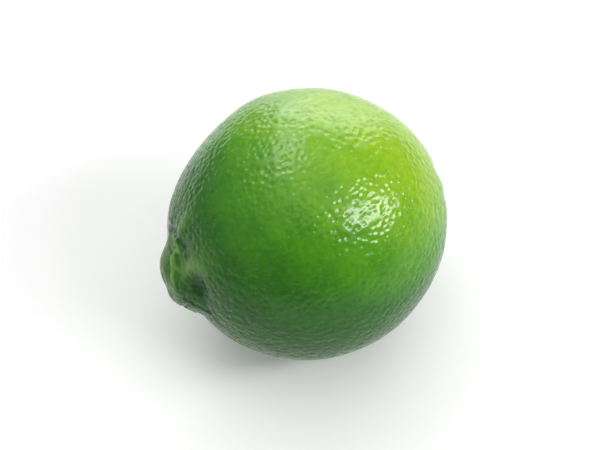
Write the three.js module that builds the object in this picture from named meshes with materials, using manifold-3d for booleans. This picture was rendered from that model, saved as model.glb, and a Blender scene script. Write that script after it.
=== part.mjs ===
// A whole lime lying on its side, as picked: one solid with its nipple, its folds and its stem scar.
// Millimetres, +Z up. The long axis runs along X: the nipple points to -X and the stem end to +X.
// The origin is on the surface that the lime lies on, under the middle of its bounding box.
import * as THREE from 'three';
import { mergeVertices } from 'three/addons/utils/BufferGeometryUtils.js';
import Module from 'manifold-3d';

// Body
const bodyLength = 59; // stem end to the foot of the nipple
const bodyDiameter = 56; // across the middle
const ovalRise = 0.6; // the middle is slightly oval: wider one way, narrower the other
const ovalTurn = -68; // degrees from the top to the wide way, growing towards the front, -Y
const lobeHeight = 0.1; // very soft lobes around the middle
const lobeCount = 3;
const shoulderDrop = 1; // the taper towards the nipple is flatter on one side, by this much at most
const shoulderTurn = -62; // degrees from the top to the flattest side
const shoulderPlace = 56; // degrees from the nipple, seen from the middle of the body
const shoulderReach = 36; // degrees to each side over which the shoulder fades out

// Nipple at the blossom end
const nippleHeight = 3; // above the body
const nippleTopWidth = 3.6; // the blunt crown
const nippleFootWidth = 15.6; // where its flank runs out into the body
const nippleLean = 0.8; // from the long axis to the middle of the crown, towards the fold
const styleScarWidth = 3.5; // the dry round scar on the crown
const styleScarDepth = 0.35;

// Fold of thick peel that wraps one side of the nipple
const foldHeight = 2.1;
const foldCrestRadius = 7; // from the long axis to the crest
const foldReach = 4.6; // from the crest to where it fades out
const foldTurn = 127; // degrees from the top towards the front

// Stem end
const dimpleWidth = 15;
const dimpleDepth = 0.9;
const stemScarWidth = 5.6; // the dry button where the stalk broke off
const stemScarHeight = 0.5; // above the floor of the dimple
const stemScarEdge = 0.8; // width of its rounded edge

// Flat spot that the lime lies on
const flatSpotWidth = 9;

// Fineness of the surface
const stepsAround = 72;
const stepsAlong = 40;
const poleCrowding = 0.42; // 0 spreads the rows evenly, 0.5 crowds them fully towards both ends

const { degToRad, smoothstep } = THREE.MathUtils;
const halfLength = bodyLength / 2;
const bodyRadius = bodyDiameter / 2;
const shoulderAngle = degToRad(shoulderPlace);
const shoulderSpread = degToRad(shoulderReach);

// 1 at distance 0, falling smoothly to 0 at distance 1 and staying there.
function bell(distance) {
  return Math.abs(distance) < 1 ? (1 - distance * distance) ** 2 : 0;
}

// 1 inside the inner radius, 0 outside the outer radius, smooth between them.
function plateau(radius, inner, outer) {
  return 1 - smoothstep(radius, inner, outer);
}

// Distance from the body's middle to its surface: an ellipse of revolution, made slightly oval and
// lobed in the middle, flattened at one shoulder, with the reliefs of both ends added.
// fromNipple is the angle from the nipple, 0 to pi; turn is the angle around the long axis, 0 at the
// top and growing towards the front.
function surfaceDistance(fromNipple, turn) {
  const ellipse = 1 / Math.hypot(Math.cos(fromNipple) / halfLength, Math.sin(fromNipple) / bodyRadius);
  const fromAxis = ellipse * Math.sin(fromNipple);
  const middleness = Math.sin(fromNipple) ** 2;
  const oval = ovalRise * Math.cos(2 * (turn - degToRad(ovalTurn)));
  const lobes = lobeHeight * Math.cos(lobeCount * turn);
  const shoulderSide = (1 + Math.cos(turn - degToRad(shoulderTurn))) / 2;
  const shoulder = shoulderDrop * shoulderSide * bell((fromNipple - shoulderAngle) / shoulderSpread);
  const ends = fromNipple < Math.PI / 2 ? nippleRelief(fromAxis, turn) : stemRelief(fromAxis);
  return ellipse + middleness * (oval + lobes) - shoulder + ends;
}

// Height of the nipple, its scar and its fold above the body.
function nippleRelief(fromAxis, turn) {
  const foldwards = fromAxis * Math.cos(turn - degToRad(foldTurn));
  const sideways = fromAxis * Math.sin(turn - degToRad(foldTurn));
  const fromCrown = Math.hypot(foldwards - nippleLean, sideways);
  const nipple = nippleHeight * plateau(fromCrown, nippleTopWidth / 2, nippleFootWidth / 2);
  const scar = -styleScarDepth * bell(fromCrown / (styleScarWidth / 2));
  const foldSide = Math.max(0, Math.cos(turn - degToRad(foldTurn)));
  const fold = foldHeight * foldSide * bell((fromAxis - foldCrestRadius) / foldReach);
  return nipple + scar + fold;
}

// Depth of the dimple and height of the dry button in it.
function stemRelief(fromAxis) {
  const dimple = -dimpleDepth * bell(fromAxis / (dimpleWidth / 2));
  const scarRadius = stemScarWidth / 2;
  const button = stemScarHeight * plateau(fromAxis, scarRadius - stemScarEdge, scarRadius);
  return dimple + button;
}

// A sphere's grid of vertices, its poles on the long axis and its rows crowded towards them, with
// each vertex moved out to the lime's surface.
function makeBody() {
  const geometry = new THREE.SphereGeometry(1, stepsAround, stepsAlong);
  geometry.rotateZ(Math.PI / 2);
  const positions = geometry.attributes.position;
  const direction = new THREE.Vector3();
  for (let i = 0; i < positions.count; i += 1) {
    direction.fromBufferAttribute(positions, i);
    const evenAngle = Math.acos(THREE.MathUtils.clamp(-direction.x, -1, 1));
    const fromNipple = evenAngle - poleCrowding * Math.sin(2 * evenAngle);
    const turn = Math.atan2(-direction.y, direction.z);
    const distance = surfaceDistance(fromNipple, turn);
    const fromAxis = distance * Math.sin(fromNipple);
    const alongAxis = -distance * Math.cos(fromNipple);
    positions.setXYZ(i, alongAxis, -fromAxis * Math.sin(turn), fromAxis * Math.cos(turn));
  }
  return geometry;
}

// A block under the lime whose top cuts the flat spot.
function makeFlatSpotCutter(lowest) {
  const flatRadius = flatSpotWidth / 2;
  const flatDepth = bodyRadius - Math.sqrt(bodyRadius ** 2 - flatRadius ** 2);
  const blockHeight = bodyDiameter;
  const geometry = new THREE.BoxGeometry(bodyLength, bodyDiameter, blockHeight);
  geometry.translate(0, 0, lowest + flatDepth - blockHeight / 2);
  return geometry;
}

const wasm = await Module();
wasm.setup();

// A closed solid from a geometry, with its shared vertices merged.
function toSolid(geometry) {
  const shape = geometry.clone();
  shape.deleteAttribute('normal');
  shape.deleteAttribute('uv');
  const merged = mergeVertices(shape);
  const vertProperties = new Float32Array(merged.attributes.position.array);
  const triVerts = new Uint32Array(merged.index.array);
  return new wasm.Manifold(new wasm.Mesh({ numProp: 3, vertProperties, triVerts }));
}

function toGeometry(solid) {
  const mesh = solid.getMesh();
  const geometry = new THREE.BufferGeometry();
  geometry.setAttribute('position', new THREE.BufferAttribute(mesh.vertProperties, 3));
  geometry.setIndex(new THREE.BufferAttribute(mesh.triVerts, 1));
  geometry.computeVertexNormals();
  return geometry;
}

function makeLime() {
  const body = makeBody();
  body.computeBoundingBox();
  const cutter = makeFlatSpotCutter(body.boundingBox.min.z);
  const geometry = toGeometry(toSolid(body).subtract(toSolid(cutter)));
  const peel = new THREE.MeshStandardMaterial({ color: 0x4f8a33, roughness: 0.35, metalness: 0 });
  const lime = new THREE.Mesh(geometry, peel);
  lime.name = 'lime';
  geometry.computeBoundingBox();
  const middle = geometry.boundingBox.getCenter(new THREE.Vector3());
  lime.position.set(-middle.x, -middle.y, -geometry.boundingBox.min.z);
  return lime;
}

const model = new THREE.Group();
model.add(makeLime());

export default model;
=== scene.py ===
import math

import bpy
import numpy as np
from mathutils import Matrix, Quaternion, Vector


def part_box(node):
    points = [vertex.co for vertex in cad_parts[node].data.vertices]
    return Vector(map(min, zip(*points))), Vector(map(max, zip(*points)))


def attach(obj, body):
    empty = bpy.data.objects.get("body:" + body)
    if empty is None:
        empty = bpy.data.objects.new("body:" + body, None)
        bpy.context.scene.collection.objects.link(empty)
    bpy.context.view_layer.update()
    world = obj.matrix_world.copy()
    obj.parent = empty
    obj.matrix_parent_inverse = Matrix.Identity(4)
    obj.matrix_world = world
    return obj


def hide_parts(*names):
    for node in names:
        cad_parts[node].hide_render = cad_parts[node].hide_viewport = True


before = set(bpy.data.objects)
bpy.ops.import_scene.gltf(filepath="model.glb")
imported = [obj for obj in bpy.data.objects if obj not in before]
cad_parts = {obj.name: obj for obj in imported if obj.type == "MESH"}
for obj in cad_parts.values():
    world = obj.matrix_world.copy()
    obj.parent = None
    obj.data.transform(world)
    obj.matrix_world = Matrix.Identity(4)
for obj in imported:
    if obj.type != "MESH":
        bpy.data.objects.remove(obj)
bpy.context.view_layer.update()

# A whole lime lying on its side. Metres, +Z up: the nipple points to -X, the stem end to +X.
limeLow, limeHigh = (np.array(corner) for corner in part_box("lime"))
print("frame loaded, lime box", limeLow.round(4), limeHigh.round(4))

mm = 0.001


def linearColour(hexCode):
    # sRGB hex to linear red, green, blue and alpha
    channels = [int(hexCode[i:i + 2], 16) / 255 for i in (0, 2, 4)]
    return [c / 12.92 if c <= 0.04045 else ((c + 0.055) / 1.055) ** 2.4 for c in channels] + [1.0]


def addNode(tree, kind, settings=None, links=None):
    # settings are node properties or socket values, links are what feeds a socket; a socket goes by
    # its name or its number
    node = tree.nodes.new(kind)
    for name, value in (settings or {}).items():
        if isinstance(name, str) and hasattr(node, name):
            setattr(node, name, value)
        else:
            node.inputs[name].default_value = value
    for name, source in (links or {}).items():
        tree.links.new(source, node.inputs[name])
    return node


def bell(values):
    # 1 at 0, easing to 0 at -1 and 1 and staying there: (1 - v squared) squared
    return np.clip(1 - values ** 2, 0, None) ** 2


def plateau(radius, inner, outer):
    # 1 inside the inner radius, 0 outside the outer one, a cubic ease between
    t = np.clip((radius - inner) / (outer - inner), 0, 1)
    return 1 - t * t * (3 - 2 * t)


def turnBetween(turn, centre):
    # signed angle from centre to turn, the short way round
    return (turn - centre + np.pi) % (2 * np.pi) - np.pi


def rimWaves(turn, waves):
    # sum of amount times the cosine of (count times turn plus phase)
    return sum(amount * np.cos(count * turn + phase) for count, amount, phase in waves)


def softWaves(points, wavelength, waveCount, seed):
    # sum of cosines that run in random directions with random phases, about -1 to 1
    rng = np.random.default_rng(seed)
    directions = rng.normal(size=(waveCount, 3))
    directions /= np.linalg.norm(directions, axis=1, keepdims=True)
    phases = rng.uniform(0, 2 * np.pi, waveCount)
    waves = np.cos(points @ directions.T * (2 * np.pi / wavelength) + phases)
    return waves.sum(axis=1) / math.sqrt(2 * waveCount)


# What a user would change on the lime. Turns are degrees round the long axis, from the top towards
# the front (-Y). Waves round a rim are a count, an amount and a phase in radians.
lime = {
    "body": {
        "length": 59 * mm,  # stem end to the foot of the nipple
        "diameter": 56 * mm,
        "ovalRise": 0.6 * mm,  # wider one way, narrower the other
        "ovalTurn": -68,  # of the wide way
        "lobeHeight": 0.1 * mm,
        "lobeCount": 3,
        "shoulderDrop": 1 * mm,  # the taper towards the nipple is flatter on one side
        "shoulderTurn": -62,
        "shoulderPlace": 56,  # degrees from the nipple, seen from the middle of the body
        "shoulderReach": 36,
        "flatSpotWidth": 9 * mm,
        "flatSpotEdge": 0.04 * mm,  # how softly the flat spot runs out
        "gridSteps": 128,  # squares along each side of the six patches
        "nippleCrowding": 0.45,  # 0 spreads the rows evenly, more crowds them towards the nipple
    },
    "nipple": {
        "height": 3 * mm,
        "topWidth": 3.6 * mm,
        "footWidth": 15.6 * mm,
        "footWaves": [(3, 0.05, 0.6), (5, 0.04, 2.1)],
        "lean": 0.8 * mm,  # from the long axis to the middle of the crown, towards the fold
        "scarWidth": 3.5 * mm,  # where the flower was, on the crown
        "scarDepth": 0.35 * mm,
        "rimHeight": 0.14 * mm,  # round the scar
        "rimReach": 0.6 * mm,
        "foldHeight": 2.1 * mm,  # the fold of thick peel beside the nipple
        "foldCrest": 7 * mm,  # from the long axis
        "foldReach": 4.6 * mm,
        "foldTurn": 127,
        # soft ribs and hollows that run out from the nipple: turn at the start, the turn they make on
        # the way out, half width in degrees, height in mm
        "ribs": [
            (-55, -4, 17, 0.22),
            (-32, 4, 12, -0.20),
            (-12, 4, 9, 0.42),
            (8, 2, 11, -0.20),
            (36, -2, 20, 0.20),
            (72, 4, 22, -0.50),
            (95, 8, 6, -0.45),
            (168, 0, 14, -0.30),
            (196, 5, 20, 0.20),
            (232, -5, 22, -0.22),
            (262, 5, 20, 0.18),
        ],
        "ribsFadeIn": (4.5 * mm, 7.5 * mm),  # from the long axis
        "ribsFadeOut": (10 * mm, 18 * mm),
        # creases and wrinkles that run round the nipple: turns from and to, distance from the long
        # axis at both, half width and height, all in mm
        "wrinkles": [
            (-100, 34, 9.4, 8.3, 1.1, -0.36),
            (-60, 40, 7.3, 6.5, 0.6, 0.20),
            (-50, 30, 5.7, 4.9, 0.45, -0.20),
            (20, 84, 3.8, 5.2, 0.5, 0.34),
            (44, 92, 5.6, 5.9, 0.4, -0.22),
            (58, 104, 7.0, 6.4, 0.6, -0.40),
            (72, 134, 5.7, 7.4, 0.45, -0.36),
            (84, 160, 8.0, 7.6, 0.50, -0.45),
            (88, 138, 8.8, 9.8, 0.5, 0.24),
            (104, 186, 10.6, 8.8, 0.65, -0.34),
            (76, 120, 10.2, 12.4, 0.8, -0.32),
            (178, 238, 8.2, 7.5, 0.9, -0.28),
            (215, 290, 6.6, 5.7, 0.7, -0.16),
        ],
        "wander": [(4, 0.3), (11, 0.12)],  # of a wrinkle: swings in a full turn, and how far in mm
        # hollows beside the crown: turn, distance from the long axis, radius, depth and lip, in mm
        "hollows": [
            (19, 5.9, 1.15, 0.05, 0.34),
            (63, 9.7, 2.7, 0.85, 0.10),
            (-14, 9.0, 1.4, 0.30, 0.0),
            (122, 4.2, 1.0, 0.25, 0.12),
            (245, 5.0, 1.6, 0.12, 0.05),
        ],
        "hollowSquash": 0.18,  # longer one way than the other, by this share
        "lipPlace": 1.45,  # in radii of the hollow, as its reach is
        "lipReach": 0.65,
        "lipGap": 45,  # degrees: a lip is an open C, and its gap faces this way from outwards
    },
    "stemEnd": {
        "dimpleWidth": 15 * mm,
        "dimpleDepth": 0.9 * mm,
        "buttonWidth": 5.6 * mm,  # the dry button where the stalk broke off
        "buttonHeight": 0.5 * mm,
        "buttonEdge": 0.7 * mm,
        "buttonWaves": [(5, -0.09, 0.4), (3, -0.04, 0)],
        "grooveDepth": 0.3 * mm,  # round the button
        "groovePlace": 0.25 * mm,
        "grooveReach": 0.6 * mm,
        "stalkDepth": 0.3 * mm,  # the hollow in the middle of the button, and its rim
        "stalkRadius": 1.25 * mm,
        "stalkRimHeight": 0.12 * mm,
        "stalkRimPlace": 1.4 * mm,
        "stalkRimReach": 0.5 * mm,
        "ribHeight": 0.26 * mm,
        "ribCount": 9,
        "ribWaves": [(2, 0.5, 1.1), (3, 0.35, 0.3)],
        "ribsFadeIn": (3.2 * mm, 5.12 * mm),  # from the long axis
        "ribsFadeOut": (5.12 * mm, 13 * mm),
    },
    "peel": {
        "cellSize": 1.25 * mm,  # one oil gland in each cell of this size
        "pitReach": 0.70,  # pit radius in cells
        "pitDepth": 0.105 * mm,  # in the mesh
        "finePitDepth": 0.07 * mm,  # in the material
        "pitsLostAtNipple": 0.6,  # share of their depth
        # soft dents: height, then wavelength, number of waves and seed
        "dents": [(0.10 * mm, 15 * mm, 12, 4), (0.03 * mm, 5 * mm, 16, 7)],
        "smoothFoot": (0.3 * mm, 3 * mm),  # dents and pits fade in between these heights
        # distance from the long axis to which each mark is full, and at which it ends
        "nippleTint": (4.5 * mm, 9.5 * mm),
        "stemScar": (2.9 * mm, 3.4 * mm),
        "styleScar": (0.6 * mm, 2.2 * mm),
        "styleScarWaves": [(3, 0.17, 1.0), (5, 0.11, 2.4)],
        "stemPlaceUnit": 5 * mm,  # stemPlace is the distance from the long axis in this unit
        "creaseShadeDepth": 0.45 * mm,  # where the painted shade in creases is full
        # where the painted highlight on ridges is full
        "ridgeHighlightHeight": 0.3 * mm,
        "sunnySide": (0.754, 0.133, 0.643),  # the way that the ripest peel faces
        "paintedShadeStart": 0.6,  # peel that faces up less than this gets painted shade, darker the further it turns down: 1 is straight up
        # how dark the painted shade underneath gets
        "paintedShadeAmount": 1.3,
        # patches of ripeness: amount, then wavelength, number of waves and seed
        "patches": [(0.07, 30 * mm, 8, 11), (0.05, 9 * mm, 12, 12)],
    },
    "look": {
        # ripeness and the colour there, from the dark side to the sunny side: the peel's own ripening
        # colour, with the darkest stops standing for painted shade underneath
        "shades": [(0.15, "28601A"), (0.46, "31701B"), (0.60, "438918"), (0.73, "5FA21E"),
                   (0.87, "7FB720"), (0.97, "95C222")],
        # stemPlace and the colour there, from the middle of the dry button to its edge
        "buttonShades": [(0.10, "4B3D26"), (0.26, "A3905E"), (0.40, "8A8150"), (0.50, "9A9A5E"),
                         (0.60, "3C4F1E")],
        # laid over the peel one after another: mark, strength and colour; the crease mark is painted
        # shade and the ridge mark a painted highlight
        "tints": [("pits", 0.05, "3B7A1C"), ("nippleTint", 0.55, "4B7E26"),
                  ("creases", 0.75, "1A4A1C"), ("ridges", 0.5, "93C264")],
        "styleScarShades": ("7D6A3C", "BFC48A"),  # dry tan flecks on pale green
        "styleScarStrength": 0.65,
        # size of each noise pattern's spots in mm, and how many finer layers it has
        "noises": {
            "drift": (12.0, 3.0),
            "mottle": (1.6, 3.0),
            "flecks": (0.6, 4.0),
            "buttonMottle": (0.5, 5.0),
            "wax": (4.0, 3.0),
            "grain": (0.35, 4.0),
            "crinkles": (1.3, 4.0),
        },
        "drift": (-0.11, 0.11),  # added to the ripeness
        "mottle": (0.9, 1.1),  # darkest and brightest, as a factor
        "buttonMottle": (0.6, 1.2),
        "mottleNoise": (0.3, 0.7),  # the noise values at those two
        "fleckNoise": (0.35, 0.65),
        "roughness": (0.11, 0.23),  # smooth wax and rubbed wax
        "buttonRoughness": 0.45,  # added to the wax's
        "grainHeight": 0.02,  # in mm, as the crinkles' is
        "crinkleHeight": 0.22,
        "ior": 1.45,
        "specularLevel": 0.32,
        "subsurfaceWeight": 0.15,  # light that goes into the peel and comes out again
        "subsurfaceScale": 0.8 * mm,
        "subsurfaceRadius": (0.8, 1.0, 0.3),
    },
}


# The pits in the mesh and the finer ones in the peel's material lie at the same places, because
# cellDistance works out what the Voronoi Texture node does: one random point in each cell of a grid.
# A step of its shuffle is the number changed, the number mixed in, the bits to turn and whether the
# difference comes last.
firstSteps = [(0, 2, 4, False), (1, 0, 6, False), (2, 1, 8, False),
              (0, 2, 16, False), (1, 0, 19, False), (2, 1, 4, False)]
finalSteps = [(2, 1, 14, True), (0, 2, 11, True), (1, 0, 25, True), (2, 1, 16, True),
              (0, 2, 4, True), (1, 0, 14, True), (2, 1, 24, True)]


def mixBits(a, b, c, steps):
    # Shuffles three arrays of 32-bit numbers: each step turns one number's bits round and combines
    # them with another by an exclusive or and a difference.
    values = [a, b, c]
    for target, source, shift, differenceLast in steps:
        turned = (values[source] << np.uint32(shift)) | (values[source] >> np.uint32(32 - shift))
        if differenceLast:
            values[target] = (values[target] ^ values[source]) - turned
        else:
            values[target] = (values[target] - values[source]) ^ turned
            values[source] = values[source] + values[3 - target - source]
    return values


def shuffleStart(keyCount):
    # the number that the shuffle of this many keys starts from
    return np.uint32((0xDEADBEEF + (keyCount << 2) + 13) & 0xFFFFFFFF)


def cellPoint(cells):
    # The random point of each cell, 0 to 1 along each axis. The first coordinate is the shuffle of
    # the cell's three numbers, the other two are the shuffle of those and the axis's own number.
    x, y, z = (cells + 0.0).T.astype(np.float32, order="C").view(np.uint32)
    start = shuffleStart(3)
    coordinates = [mixBits(start + x, start + y, start + z, finalSteps)[2]]
    start = shuffleStart(4)
    for axis in (1.0, 2.0):
        a, b, c = mixBits(start + x, start + y, start + z, firstSteps)
        a = a + np.float32(axis).view(np.uint32)
        coordinates.append(mixBits(a, b, c, finalSteps)[2])
    return np.stack(coordinates, axis=1) / 0xFFFFFFFF


def cellDistance(points):
    # distance to the nearest random point, in cells, of the 27 cells at and round each point
    corner = np.floor(points)
    nearest = np.full(len(points), np.inf)
    for offset in np.ndindex(3, 3, 3):
        step = np.array(offset) - 1
        gap = step + cellPoint(corner + step) - (points - corner)
        nearest = np.minimum(nearest, np.linalg.norm(gap, axis=1))
    return nearest


def cubeDirections(steps):
    # Six square patches of a cube, pushed out to a unit sphere. Equal angles along each edge keep
    # the squares alike. Returns directions and the four corners of each square, facing outwards.
    line = np.tan(np.linspace(-np.pi / 4, np.pi / 4, steps + 1))
    a, b = np.meshgrid(line, line, indexing="ij")
    one = np.ones_like(a)
    patches = [(one, a, b), (-one, b, a), (b, one, a), (a, -one, b), (a, b, one), (b, a, -one)]
    points = np.concatenate([np.stack(patch, axis=-1).reshape(-1, 3) for patch in patches])
    points /= np.linalg.norm(points, axis=1, keepdims=True)
    row = np.arange((steps + 1) ** 2).reshape(steps + 1, steps + 1)
    squares = np.stack([row[:-1, :-1], row[1:, :-1], row[1:, 1:], row[:-1, 1:]], axis=-1).reshape(-1, 4)
    faces = np.concatenate([squares + i * row.size for i in range(len(patches))])
    # points that two patches share become one
    keys = np.round(points * 1e6).astype(np.int64)
    first, shared = np.unique(keys, axis=0, return_index=True, return_inverse=True)[1:]
    return points[first], shared.reshape(-1)[faces]


def nippleDetails(fromAxis, turn):
    # bells across the curved line of each wrinkle, plus the C-shaped lip of each hollow, minus the
    # hollow's own bell
    nipple = lime["nipple"]
    details = 0
    for start, end, near, far, half, height in nipple["wrinkles"]:
        centre, span = math.radians((start + end) / 2), math.radians(end - start) / 2
        along = turnBetween(turn, centre) / span
        wander = sum(swing * np.sin(count * turn + start) for count, swing in nipple["wander"])
        line = (near + far) / 2 + (far - near) / 2 * along + wander
        details = details + height * mm * bell(along) ** 0.5 * bell((fromAxis / mm - line) / half)
    for place, distance, radius, depth, lip in nipple["hollows"]:
        there = turn - math.radians(place)
        outside, sideways = fromAxis / mm * np.cos(there) - distance, fromAxis / mm * np.sin(there)
        facing = np.arctan2(sideways, outside)
        squash = nipple["hollowSquash"] * np.cos(2 * facing + place)
        away = np.hypot(outside, sideways) / radius * (1 + squash)
        lipSide = (1 - np.cos(facing - math.radians(nipple["lipGap"]))) / 2
        rise = lip * lipSide * bell((away - nipple["lipPlace"]) / nipple["lipReach"])
        details = details + mm * (rise - depth * bell(away))
    return details


def nippleRelief(fromAxis, turn):
    # Plateau of the nipple, minus the bell of its scar, plus the bells of the scar's rim and of the
    # fold on one side, plus ribs that fade in at the nipple's foot and fade out on the shoulder,
    # plus the details. The second result is what the painted shade in creases and the painted
    # highlight on ridges follow.
    nipple = lime["nipple"]
    foldTurn = math.radians(nipple["foldTurn"])
    foldwards = fromAxis * np.cos(turn - foldTurn) - nipple["lean"]
    sideways = fromAxis * np.sin(turn - foldTurn)
    fromCrown = np.hypot(foldwards, sideways)
    uneven = fromCrown * (1 + rimWaves(np.arctan2(sideways, foldwards), nipple["footWaves"]))
    crown = nipple["height"] * plateau(uneven, nipple["topWidth"] / 2, nipple["footWidth"] / 2)
    scarRadius = nipple["scarWidth"] / 2
    scar = -nipple["scarDepth"] * bell(fromCrown / scarRadius)
    rim = nipple["rimHeight"] * bell((uneven - scarRadius) / nipple["rimReach"])
    foldSide = np.clip(np.cos(turn - foldTurn), 0, None)
    fold = nipple["foldHeight"] * foldSide * bell((fromAxis - nipple["foldCrest"]) / nipple["foldReach"])
    start, end = nipple["ribsFadeIn"][1], nipple["ribsFadeOut"][1]
    outwards = np.clip((fromAxis - start) / (end - start), 0, 1)
    ribs = 0
    for ribTurn, bend, half, height in nipple["ribs"]:
        gap = turnBetween(turn, np.radians(ribTurn + bend * outwards))
        ribs = ribs + height * mm * bell(gap / math.radians(half))
    fadeIn = 1 - plateau(fromAxis, *nipple["ribsFadeIn"])
    ribs = ribs * fadeIn * plateau(fromAxis, *nipple["ribsFadeOut"])
    details = nippleDetails(fromAxis, turn)
    return crown + scar + rim + fold + ribs + details, details + ribs / 2


def stemRelief(fromAxis, turn):
    # Bell of the dimple, plateau of the lobed dry button with a groove round it and a rimmed hollow
    # where the stalk broke off, plus soft ribs that run out of the dimple.
    stem = lime["stemEnd"]
    dimple = -stem["dimpleDepth"] * bell(fromAxis / (stem["dimpleWidth"] / 2))
    buttonRadius = stem["buttonWidth"] / 2
    lobed = fromAxis * (1 + rimWaves(turn, stem["buttonWaves"]))
    button = stem["buttonHeight"] * plateau(lobed, buttonRadius - stem["buttonEdge"], buttonRadius)
    grooveRadius = buttonRadius + stem["groovePlace"]
    groove = -stem["grooveDepth"] * bell((lobed - grooveRadius) / stem["grooveReach"])
    stalk = -stem["stalkDepth"] * bell(fromAxis / stem["stalkRadius"])
    stalkRim = stem["stalkRimHeight"] * bell((fromAxis - stem["stalkRimPlace"]) / stem["stalkRimReach"])
    ribs = stem["ribHeight"] * np.cos(stem["ribCount"] * turn + rimWaves(turn, stem["ribWaves"]))
    ribs = ribs * (1 - plateau(fromAxis, *stem["ribsFadeIn"])) * plateau(fromAxis, *stem["ribsFadeOut"])
    return dimple + button + groove + stalk + stalkRim + ribs


def limeSurface(directions):
    # Distance from the middle of the body = ellipse of revolution, plus the oval and the lobes that
    # are fullest round the middle, minus the flatter shoulder, plus the relief of the nearer end. The
    # angle from the nipple is the direction's own, minus crowding times its sine times half of 1 plus
    # its cosine.
    body = lime["body"]
    evenAngle = np.arccos(np.clip(-directions[:, 0], -1, 1))
    fromNipple = evenAngle - body["nippleCrowding"] * np.sin(evenAngle) * (1 + np.cos(evenAngle)) / 2
    turn = np.arctan2(-directions[:, 1], directions[:, 2])
    along, across = body["length"] / 2, body["diameter"] / 2
    ellipse = 1 / np.hypot(np.cos(fromNipple) / along, np.sin(fromNipple) / across)
    fromAxis = ellipse * np.sin(fromNipple)
    oval = body["ovalRise"] * np.cos(2 * (turn - math.radians(body["ovalTurn"])))
    lobes = body["lobeHeight"] * np.cos(body["lobeCount"] * turn)
    shoulderSide = (1 + np.cos(turn - math.radians(body["shoulderTurn"]))) / 2
    fromShoulder = (np.degrees(fromNipple) - body["shoulderPlace"]) / body["shoulderReach"]
    shoulder = body["shoulderDrop"] * shoulderSide * bell(fromShoulder)
    atNipple = fromNipple < np.pi / 2
    relief, details = nippleRelief(fromAxis, turn)
    ends = np.where(atNipple, relief, stemRelief(fromAxis, turn))
    distance = ellipse + np.sin(fromNipple) ** 2 * (oval + lobes) - shoulder + ends
    points = np.stack([-distance * np.cos(fromNipple),
                       -distance * np.sin(fromNipple) * np.sin(turn),
                       distance * np.sin(fromNipple) * np.cos(turn)], axis=1)
    return points, fromNipple, fromAxis, turn, np.where(atNipple, details, 0)


def restOnFlatSpot(points):
    # The underside is eased flat, as if pressed: height above the spot = softness times the log of
    # 1 plus e to the old height over the softness.
    body = lime["body"]
    radius = body["diameter"] / 2
    depth = radius - math.sqrt(radius ** 2 - (body["flatSpotWidth"] / 2) ** 2)
    spotHeight = points[:, 2].min() + depth
    above = (points[:, 2] - spotHeight) / body["flatSpotEdge"]
    points[:, 2] = spotHeight + body["flatSpotEdge"] * np.logaddexp(0, above)
    return points


def vertexNormals(points, faces):
    # each square's normal is the cross product of its diagonals, summed at its corners
    diagonals = points[faces[:, 2]] - points[faces[:, 0]], points[faces[:, 3]] - points[faces[:, 1]]
    faceNormals = np.cross(*diagonals)
    normals = np.zeros_like(points)
    for corner in range(4):
        np.add.at(normals, faces[:, corner], faceNormals)
    return normals / np.linalg.norm(normals, axis=1, keepdims=True)


def ripenessAndShadeOf(points):
    # Cosine of the angle to the sunny side, minus painted shade below, which grows with the square of
    # how far the peel turns down, plus soft patches. The result is moved from -1..1 to 0..1. The sunny
    # side and the patches are the peel's own colour, and the part below is painted shade.
    peel = lime["peel"]
    facing = points - points.mean(axis=0)
    facing /= np.linalg.norm(facing, axis=1, keepdims=True)
    sunny = np.array(peel["sunnySide"])
    ripenessAndShade = facing @ (sunny / np.linalg.norm(sunny))
    ripenessAndShade -= peel["paintedShadeAmount"] * np.clip(peel["paintedShadeStart"] - facing[:, 2], 0, None) ** 2
    ripenessAndShade += sum(amount * softWaves(points, *waves) for amount, *waves in peel["patches"])
    return 0.5 + 0.5 * ripenessAndShade


def makeMesh(name, points, faces, attributes=None):
    # a smooth mesh in the scene, with a value at each point for each attribute
    mesh = bpy.data.meshes.new(name)
    mesh.from_pydata(points.tolist(), [], faces.tolist())
    mesh.shade_smooth()
    for attributeName, values in (attributes or {}).items():
        attribute = mesh.attributes.new(attributeName, "FLOAT", "POINT")
        attribute.data.foreach_set("value", values.astype(np.float32))
    piece = bpy.data.objects.new(name, mesh)
    bpy.context.scene.collection.objects.link(piece)
    return piece


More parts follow.
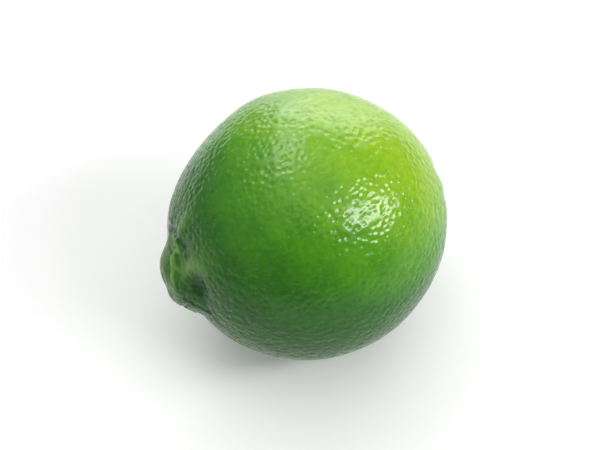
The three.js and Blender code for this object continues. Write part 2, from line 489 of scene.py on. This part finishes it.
def makeLime():
    # The surface, plus dents minus pits along its normals. Its attributes tell the material where the
    # marks on the peel are, and where painted shade and painted highlights go.
    peel = lime["peel"]
    directions, faces = cubeDirections(lime["body"]["gridSteps"])
    points, fromNipple, fromAxis, turn, details = limeSurface(directions)
    points = restOnFlatSpot(points)
    # placed on the frame's box: its middle in X and Y, its bottom in Z
    low, high = points.min(axis=0), points.max(axis=0)
    middle = (low + high) / 2
    target = (limeLow + limeHigh) / 2
    points += [target[0] - middle[0], target[1] - middle[1], limeLow[2] - low[2]]
    atStem = fromNipple > np.pi / 2
    buttonEdge = fromAxis * (1 + rimWaves(turn, lime["stemEnd"]["buttonWaves"][:1]))
    stemScar = np.where(atStem, plateau(buttonEdge, *peel["stemScar"]), 0)
    raggedEdge = fromAxis * (1 + rimWaves(turn, peel["styleScarWaves"]))
    styleScar = np.where(atStem, 0, plateau(raggedEdge, *peel["styleScar"]))
    nippleTint = np.where(atStem, 0, plateau(fromAxis, *peel["nippleTint"]))
    dents = sum(height * softWaves(points, *waves) for height, *waves in peel["dents"])
    pits = bell(cellDistance(points / peel["cellSize"]) / peel["pitReach"])
    pits = pits * (1 - stemScar) * (1 - peel["pitsLostAtNipple"] * nippleTint)
    fadeIn = 1 - plateau(points[:, 2], *peel["smoothFoot"])
    points += vertexNormals(points, faces) * (fadeIn * (dents - peel["pitDepth"] * pits))[:, None]
    print("lime surface", len(points), "points", 2 * len(faces), "triangles")
    return makeMesh("lime_peel", points, faces, {
        # ripeness: the peel's own colour, darkened underneath by painted shade
        "ripenessAndShade": ripenessAndShadeOf(points),
        "stemScar": stemScar,
        "stemPlace": np.where(atStem, fromAxis / peel["stemPlaceUnit"], 1),
        "styleScar": styleScar,
        "nippleTint": nippleTint,
        # painted shade in creases and a painted highlight on ridges, from the nipple's relief
        "creases": np.clip(-details / peel["creaseShadeDepth"], 0, 1),
        "ridges": np.clip(details / peel["ridgeHighlightHeight"], 0, 1),
    })


def makePeelMaterial():
    # Waxy lime peel: a thin film of wax over fleshy, faintly translucent skin full of oil glands. It
    # gives the eye soft broad reflections that break into bright specks, and a colour that drifts.
    # Painted shade darkens its underside and creases, and a painted highlight lightens the ridges.
    peel, look = lime["peel"], lime["look"]
    material = bpy.data.materials.new("waxy lime peel")
    material.use_nodes = True
    tree = material.node_tree
    tree.nodes.clear()
    place = addNode(tree, "ShaderNodeTexCoord").outputs["Object"]
    marks = {}
    for name in ("ripenessAndShade", "nippleTint", "creases", "ridges", "styleScar", "stemScar", "stemPlace"):
        marks[name] = addNode(tree, "ShaderNodeAttribute", {"attribute_name": name}).outputs["Fac"]
    noises = {}
    for name, (size, layers) in look["noises"].items():
        noises[name] = addNode(tree, "ShaderNodeTexNoise", {"Scale": 1 / (size * mm), "Detail": layers},
                               {"Vector": place}).outputs["Fac"]
    cells = addNode(tree, "ShaderNodeTexVoronoi", {"Scale": 1 / peel["cellSize"]}, {"Vector": place})
    pits = addNode(tree, "ShaderNodeMapRange",
                   {"interpolation_type": "SMOOTHSTEP", "From Max": peel["pitReach"],
                    "To Min": 1.0, "To Max": 0.0}, {"Value": cells.outputs["Distance"]})
    marks["pits"] = pits.outputs[0]

    # the peel's colour follows its drifting ripeness, darkened underneath by painted shade, the dry
    # button's its own rings, both mottled
    low, high = look["drift"]
    drift = addNode(tree, "ShaderNodeMapRange", {"To Min": low, "To Max": high},
                    {"Value": noises["drift"]})
    ripeAndShaded = addNode(tree, "ShaderNodeMath", {"operation": "ADD"},
                   {0: marks["ripenessAndShade"], 1: drift.outputs[0]})
    mottled = []
    dull, bright = look["mottleNoise"]
    for shades, source, pattern in (("shades", ripeAndShaded.outputs[0], "mottle"),
                                    ("buttonShades", marks["stemPlace"], "buttonMottle")):
        ramp = addNode(tree, "ShaderNodeValToRGB", None, {"Fac": source})
        stops = ramp.color_ramp.elements
        while len(stops) < len(look[shades]):
            stops.new(0.5)
        for stop, (position, shade) in zip(stops, look[shades]):
            stop.position = position
            stop.color = linearColour(shade)
        low, high = look[pattern]
        factor = addNode(tree, "ShaderNodeMapRange",
                         {"From Min": dull, "From Max": bright, "To Min": low, "To Max": high},
                         {"Value": noises[pattern]})
        mixed = addNode(tree, "ShaderNodeMix", {"data_type": "RGBA", "blend_type": "MULTIPLY", 0: 1.0},
                        {6: ramp.outputs["Color"], 7: factor.outputs[0]})
        mottled.append(mixed.outputs[2])
    colour, buttonColour = mottled

    # the tints, among them painted shade in creases and a painted highlight on ridges, then the style
    # scar, then the dry button, one over the other
    for mark, strength, shade in look["tints"]:
        weight = addNode(tree, "ShaderNodeMath", {"operation": "MULTIPLY", 1: strength},
                         {0: marks[mark]})
        colour = addNode(tree, "ShaderNodeMix", {"data_type": "RGBA", 7: linearColour(shade)},
                         {0: weight.outputs[0], 6: colour}).outputs[2]
    low, high = look["fleckNoise"]
    flecks = addNode(tree, "ShaderNodeMapRange", {"From Min": low, "From Max": high},
                     {"Value": noises["flecks"]})
    tan, paleGreen = (linearColour(shade) for shade in look["styleScarShades"])
    scar = addNode(tree, "ShaderNodeMix", {"data_type": "RGBA", 6: tan, 7: paleGreen},
                   {0: flecks.outputs[0]})
    weight = addNode(tree, "ShaderNodeMath", {"operation": "MULTIPLY", 1: look["styleScarStrength"]},
                     {0: marks["styleScar"]})
    colour = addNode(tree, "ShaderNodeMix", {"data_type": "RGBA"},
                     {0: weight.outputs[0], 6: colour, 7: scar.outputs[2]}).outputs[2]
    colour = addNode(tree, "ShaderNodeMix", {"data_type": "RGBA"},
                     {0: marks["stemScar"], 6: colour, 7: buttonColour}).outputs[2]

    # roughness: uneven wax, plus the dry button
    low, high = look["roughness"]
    wax = addNode(tree, "ShaderNodeMapRange", {"To Min": low, "To Max": high}, {"Value": noises["wax"]})
    roughness = addNode(tree, "ShaderNodeMath",
                        {"operation": "MULTIPLY_ADD", "use_clamp": True, 1: look["buttonRoughness"]},
                        {0: marks["stemScar"], 2: wax.outputs[0]})

    # height of the fine relief in mm: grain minus pits, plus crinkles on the nipple
    height = addNode(tree, "ShaderNodeMath", {"operation": "MULTIPLY", 1: -peel["finePitDepth"] / mm},
                     {0: marks["pits"]})
    height = addNode(tree, "ShaderNodeMath", {"operation": "MULTIPLY_ADD", 1: look["grainHeight"]},
                     {0: noises["grain"], 2: height.outputs[0]})
    crinkles = addNode(tree, "ShaderNodeMath", {"operation": "MULTIPLY"},
                       {0: noises["crinkles"], 1: marks["nippleTint"]})
    height = addNode(tree, "ShaderNodeMath", {"operation": "MULTIPLY_ADD", 1: look["crinkleHeight"]},
                     {0: crinkles.outputs[0], 2: height.outputs[0]})
    bump = addNode(tree, "ShaderNodeBump", {"Strength": 1.0, "Distance": mm},
                   {"Height": height.outputs[0]})

    surface = addNode(tree, "ShaderNodeBsdfPrincipled",
                      {"IOR": look["ior"], "Specular IOR Level": look["specularLevel"],
                       "Subsurface Weight": look["subsurfaceWeight"],
                       "Subsurface Scale": look["subsurfaceScale"],
                       "Subsurface Radius": look["subsurfaceRadius"]},
                      {"Base Color": colour, "Roughness": roughness.outputs[0],
                       "Normal": bump.outputs[0]})
    addNode(tree, "ShaderNodeOutputMaterial", None, {"Surface": surface.outputs[0]})
    return material


peel = makeLime()
peel.data.materials.append(makePeelMaterial())
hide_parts("lime")
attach(peel, "root")
print("lime made")


# What a user would change in the studio.
studio = {
    "floorSize": 1.1,
    "floorColour": "F8F8F7",
    "floorGlow": 0.14,  # light that comes up through the board
    "floorRoughness": 0.9,
    "floorSpecularLevel": 0.2,
    "backdropRadius": 2.5,
    "backdropSteps": 12,  # squares along each side of its six patches
    "backdropColour": "FCFCFB",
    "worldColour": "F4F6F8",
    "worldStrength": 0.23,
    "panelDistance": 1.0,
    # name, degrees round from the front (+X side positive), degrees up, width, height, roll in
    # degrees, brightness, brightness added in reflections only
    "panels": [
        ("key_softbox", 50, 38, 0.80, 0.20, -37, 8.8, 33.0),
        ("back_panel", 150, 21, 1.04, 0.77, 0, 1.55, 29.0),
        ("top_panel", -168, 58, 0.42, 0.42, 0, 1.5, 22.0),
        ("left_panel", -112, 32, 2.00, 1.30, 0, 0.3, 0.6),
        ("overhead_panel", 0, 90, 1.10, 1.10, 0, 1.15, 0),
    ],
    "cameraAzimuth": -23,
    "cameraElevation": 55,
    "cameraDistance": 0.42,
    "cameraLens": 120,
    "cameraClipStart": 0.01,
}


def makeFloor():
    # A matt white board on a light table. Nothing shines in it, and the light that comes up through
    # it keeps its shadows pale.
    half = studio["floorSize"] / 2
    corners = np.array([(-half, -half, 0), (half, -half, 0), (half, half, 0), (-half, half, 0)])
    floor = makeMesh("floor", corners, np.array([(0, 1, 2, 3)]))
    material = bpy.data.materials.new("matt white board")
    material.use_nodes = True
    surface = material.node_tree.nodes["Principled BSDF"]
    surface.inputs["Base Color"].default_value = linearColour(studio["floorColour"])
    surface.inputs["Roughness"].default_value = studio["floorRoughness"]
    surface.inputs["Specular IOR Level"].default_value = studio["floorSpecularLevel"]
    surface.inputs["Emission Color"].default_value = linearColour(studio["floorColour"])
    surface.inputs["Emission Strength"].default_value = studio["floorGlow"]
    floor.data.materials.append(material)


def makeBackdrop():
    # a pale sphere round everything, evenly lit, that only fills the view and lights nothing
    directions, faces = cubeDirections(studio["backdropSteps"])
    backdrop = makeMesh("backdrop", directions * studio["backdropRadius"], faces)
    material = bpy.data.materials.new("evenly lit backdrop")
    material.use_nodes = True
    tree = material.node_tree
    tree.nodes.clear()
    glow = addNode(tree, "ShaderNodeEmission", {"Color": linearColour(studio["backdropColour"])})
    addNode(tree, "ShaderNodeOutputMaterial", None, {"Surface": glow.outputs[0]})
    backdrop.data.materials.append(material)
    for kind in ("diffuse", "glossy", "transmission", "volume_scatter", "shadow"):
        setattr(backdrop, "visible_" + kind, False)


def makeWorld():
    # a pale light that comes evenly from all round
    world = bpy.data.worlds.new("soft studio")
    world.use_nodes = True
    background = world.node_tree.nodes["Background"]
    background.inputs["Color"].default_value = linearColour(studio["worldColour"])
    background.inputs["Strength"].default_value = studio["worldStrength"]
    bpy.context.scene.world = world


def aim(thing, target, azimuth, elevation, distance, roll=0):
    # puts a light or the camera at this distance from the target, round from the front by the
    # azimuth and up by the elevation, and turns it to face the target
    a, e = math.radians(azimuth), math.radians(elevation)
    away = Vector((math.sin(a) * math.cos(e), -math.cos(a) * math.cos(e), math.sin(e)))
    thing.location = target + away * distance
    turned = away.to_track_quat("Z", "Y") @ Quaternion((0, 0, 1), math.radians(roll))
    thing.rotation_euler = turned.to_euler()


def makePanel(name, target, azimuth, elevation, width, height, roll, brightness):
    # energy = brightness of the panel's face, times pi, times its area
    lamp = bpy.data.lights.new(name, "AREA")
    lamp.shape = "RECTANGLE"
    lamp.size, lamp.size_y = width, height
    lamp.energy = brightness * math.pi * width * height
    panel = bpy.data.objects.new(name, lamp)
    bpy.context.scene.collection.objects.link(panel)
    panel.visible_camera = False
    aim(panel, target, azimuth, elevation, studio["panelDistance"], roll)
    return panel


def makeCamera(target):
    # a long lens that looks down at the lime from the front, a little round to the nipple's side
    lens = bpy.data.cameras.new("camera")
    lens.lens = studio["cameraLens"]
    lens.clip_start = studio["cameraClipStart"]
    camera = bpy.data.objects.new("camera", lens)
    bpy.context.scene.collection.objects.link(camera)
    aim(camera, target, studio["cameraAzimuth"], studio["cameraElevation"], studio["cameraDistance"])
    bpy.context.scene.camera = camera


middle = Vector((limeLow + limeHigh) / 2)
makeFloor()
makeBackdrop()
makeWorld()
for name, *placing, brightness, shine in studio["panels"]:
    makePanel(name, middle, *placing, brightness)
    if shine:
        makePanel(name + "_shine", middle, *placing, shine).visible_diffuse = False
makeCamera(middle)
bpy.context.scene.view_settings.view_transform = "Standard"
print("studio made")
